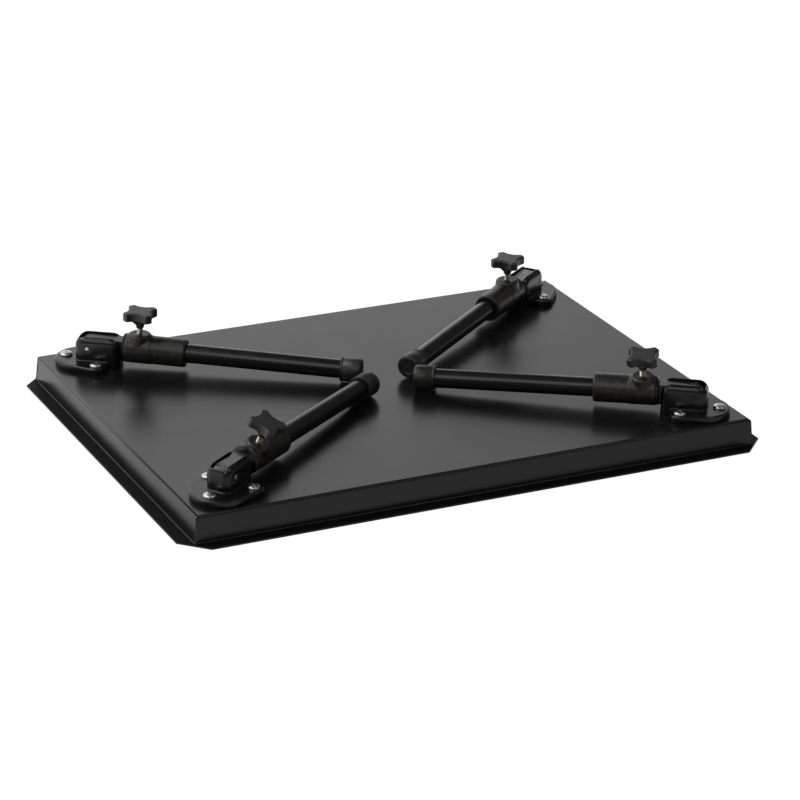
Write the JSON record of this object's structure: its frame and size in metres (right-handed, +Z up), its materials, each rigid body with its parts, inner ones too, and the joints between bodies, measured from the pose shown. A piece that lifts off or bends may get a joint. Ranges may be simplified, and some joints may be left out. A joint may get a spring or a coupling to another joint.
{
  "type": "folding-leg tray platform",
  "caption": "Shallow sheet-steel tray platform with an out-turned flange, lying face down with its tubular legs folded diagonally in hinged clamp sockets with star knobs.",
  "frame": {"origin": "middle of the floor rectangle under the flange, on which the upturned platform lies", "axes": "+Z up from the floor towards the folded legs, +X along the long side, +Y from the front long side to the rear one"},
  "size_m": [0.612, 0.455, 0.0899],
  "materials": {
    "deck_powder_coat": "semi-gloss black powder coat, faint orange peel",
    "bracket_gloss_black": "gloss black enamel on a casting",
    "knuckle_black_steel": "black enamel on a steel forging",
    "pin_steel": "plain steel rivet",
    "zinc_fastener": "bright zinc plate",
    "socket_plastic": "matte black moulding",
    "insert_brass": "turned brass",
    "tube_black_paint": "gloss black paint on steel tube",
    "cap_rubber": "matte black rubber",
    "stud_steel": "yellowish zinc-plated thread",
    "knob_plastic": "satin black moulding"
  },
  "bodies": {
    "tray_frame": {"deck_tray": "deck_powder_coat", "front_left_hinge_bracket": "bracket_gloss_black", "front_left_hinge_pin": "pin_steel", "front_left_bracket_screws": "zinc_fastener", "front_left_bracket_nuts": "zinc_fastener", "front_right_hinge_bracket": "bracket_gloss_black", "front_right_hinge_pin": "pin_steel", "front_right_bracket_screws": "zinc_fastener", "front_right_bracket_nuts": "zinc_fastener", "rear_left_hinge_bracket": "bracket_gloss_black", "rear_left_hinge_pin": "pin_steel", "rear_left_bracket_screws": "zinc_fastener", "rear_left_bracket_nuts": "zinc_fastener", "rear_right_hinge_bracket": "bracket_gloss_black", "rear_right_hinge_pin": "pin_steel", "rear_right_bracket_screws": "zinc_fastener", "rear_right_bracket_nuts": "zinc_fastener"},
    "front_left_knuckle": {"front_left_hinge_knuckle": "knuckle_black_steel"},
    "front_left_leg_head": {"front_left_leg_socket": "socket_plastic", "front_left_thread_insert": "insert_brass"},
    "front_left_leg": {"front_left_leg_tube": "tube_black_paint", "front_left_foot_cap": "cap_rubber"},
    "front_left_screw": {"front_left_clamp_stud": "stud_steel"},
    "front_left_knob": {"front_left_clamp_knob": "knob_plastic"},
    "front_right_knuckle": {"front_right_hinge_knuckle": "knuckle_black_steel"},
    "front_right_leg_head": {"front_right_leg_socket": "socket_plastic", "front_right_thread_insert": "insert_brass"},
    "front_right_leg": {"front_right_leg_tube": "tube_black_paint", "front_right_foot_cap": "cap_rubber"},
    "front_right_screw": {"front_right_clamp_stud": "stud_steel"},
    "front_right_knob": {"front_right_clamp_knob": "knob_plastic"},
    "rear_left_knuckle": {"rear_left_hinge_knuckle": "knuckle_black_steel"},
    "rear_left_leg_head": {"rear_left_leg_socket": "socket_plastic", "rear_left_thread_insert": "insert_brass"},
    "rear_left_leg": {"rear_left_leg_tube": "tube_black_paint", "rear_left_foot_cap": "cap_rubber"},
    "rear_left_screw": {"rear_left_clamp_stud": "stud_steel"},
    "rear_left_knob": {"rear_left_clamp_knob": "knob_plastic"},
    "rear_right_knuckle": {"rear_right_hinge_knuckle": "knuckle_black_steel"},
    "rear_right_leg_head": {"rear_right_leg_socket": "socket_plastic", "rear_right_thread_insert": "insert_brass"},
    "rear_right_leg": {"rear_right_leg_tube": "tube_black_paint", "rear_right_foot_cap": "cap_rubber"},
    "rear_right_screw": {"rear_right_clamp_stud": "stud_steel"},
    "rear_right_knob": {"rear_right_clamp_knob": "knob_plastic"}
  },
  "joints": [
    {"name": "front_left_leg_fold", "type": "hinge", "parent": "tray_frame", "child": "front_left_knuckle", "pos_m": [-0.2475, -0.1743, 0.0468], "axis": [0.5906, -0.807, 0], "range_deg": [0, 91.56]},
    {"name": "front_left_collar_turn", "type": "hinge", "parent": "front_left_knuckle", "child": "front_left_leg_head", "pos_m": [-0.21811, -0.15279, 0.04721], "axis": [0.8067, 0.5904, -0.0272], "range_deg": [-84, 36]},
    {"name": "front_left_tube_slide", "type": "slide", "parent": "front_left_leg_head", "child": "front_left_leg", "axis": [0.8067, 0.5904, -0.0272], "range_m": [0, 0.003]},
    {"name": "front_left_screw_travel", "type": "slide", "parent": "front_left_leg_head", "child": "front_left_screw", "axis": [0.2603, -0.3136, 0.9132], "range_m": [0, 0.002]},
    {"name": "front_left_knob_turn", "type": "hinge", "parent": "front_left_screw", "child": "front_left_knob", "pos_m": [-0.2008, -0.15161, 0.06765], "axis": [0.2603, -0.3136, 0.9132], "range_deg": [0, 730]},
    {"name": "front_right_leg_fold", "type": "hinge", "parent": "tray_frame", "child": "front_right_knuckle", "pos_m": [0.2475, -0.1743, 0.0468], "axis": [0.5764, 0.8171, 0], "range_deg": [0, 91.56]},
    {"name": "front_right_collar_turn", "type": "hinge", "parent": "front_right_knuckle", "child": "front_right_leg_head", "pos_m": [0.21774, -0.1533, 0.04721], "axis": [-0.8168, 0.5762, -0.0272], "range_deg": [-51, 69]},
    {"name": "front_right_tube_slide", "type": "slide", "parent": "front_right_leg_head", "child": "front_right_leg", "axis": [-0.8168, 0.5762, -0.0272], "range_m": [0, 0.003]},
    {"name": "front_right_screw_travel", "type": "slide", "parent": "front_right_leg_head", "child": "front_right_screw", "axis": [-0.1121, -0.1124, 0.9873], "range_m": [0, 0.002]},
    {"name": "front_right_knob_turn", "type": "hinge", "parent": "front_right_screw", "child": "front_right_knob", "pos_m": [0.20366, -0.14774, 0.06934], "axis": [-0.1121, -0.1124, 0.9873], "range_deg": [0, 730]},
    {"name": "rear_left_leg_fold", "type": "hinge", "parent": "tray_frame", "child": "rear_left_knuckle", "pos_m": [-0.2475, 0.1743, 0.0468], "axis": [-0.5621, -0.8271, 0], "range_deg": [0, 91.56]},
    {"name": "rear_left_collar_turn", "type": "hinge", "parent": "rear_left_knuckle", "child": "rear_left_leg_head", "pos_m": [-0.21737, 0.15383, 0.04721], "axis": [0.8268, -0.5619, -0.0272], "range_deg": [-60, 60]},
    {"name": "rear_left_tube_slide", "type": "slide", "parent": "rear_left_leg_head", "child": "rear_left_leg", "axis": [0.8268, -0.5619, -0.0272], "range_m": [0, 0.003]},
    {"name": "rear_left_screw_travel", "type": "slide", "parent": "rear_left_leg_head", "child": "rear_left_screw", "axis": [0.0225, -0.0153, 0.9996], "range_m": [0, 0.002]},
    {"name": "rear_left_knob_turn", "type": "hinge", "parent": "rear_left_screw", "child": "rear_left_knob", "pos_m": [-0.2052, 0.14556, 0.06962], "axis": [0.0225, -0.0153, 0.9996], "range_deg": [0, 730]},
    {"name": "rear_right_leg_fold", "type": "hinge", "parent": "tray_frame", "child": "rear_right_knuckle", "pos_m": [0.2475, 0.1743, 0.0468], "axis": [-0.5976, 0.8018, 0], "range_deg": [0, 91.56]},
    {"name": "rear_right_collar_turn", "type": "hinge", "parent": "rear_right_knuckle", "child": "rear_right_leg_head", "pos_m": [0.2183, 0.15253, 0.04721], "axis": [-0.8015, -0.5974, -0.0272], "range_deg": [-60, 60]},
    {"name": "rear_right_tube_slide", "type": "slide", "parent": "rear_right_leg_head", "child": "rear_right_leg", "axis": [-0.8015, -0.5974, -0.0272], "range_m": [0, 0.003]},
    {"name": "rear_right_screw_travel", "type": "slide", "parent": "rear_right_leg_head", "child": "rear_right_screw", "axis": [-0.0218, -0.0162, 0.9996], "range_m": [0, 0.002]},
    {"name": "rear_right_knob_turn", "type": "hinge", "parent": "rear_right_screw", "child": "rear_right_knob", "pos_m": [0.2065, 0.14374, 0.06962], "axis": [-0.0218, -0.0162, 0.9996], "range_deg": [0, 730]}
  ],
  "couplings": [
    {"joint": "front_left_knob_turn", "follows": "front_left_screw_travel", "rad_per_m": 6283.2},
    {"joint": "front_right_knob_turn", "follows": "front_right_screw_travel", "rad_per_m": 6283.2},
    {"joint": "rear_left_knob_turn", "follows": "rear_left_screw_travel", "rad_per_m": 6283.2},
    {"joint": "rear_right_knob_turn", "follows": "rear_right_screw_travel", "rad_per_m": 6283.2}
  ]
}
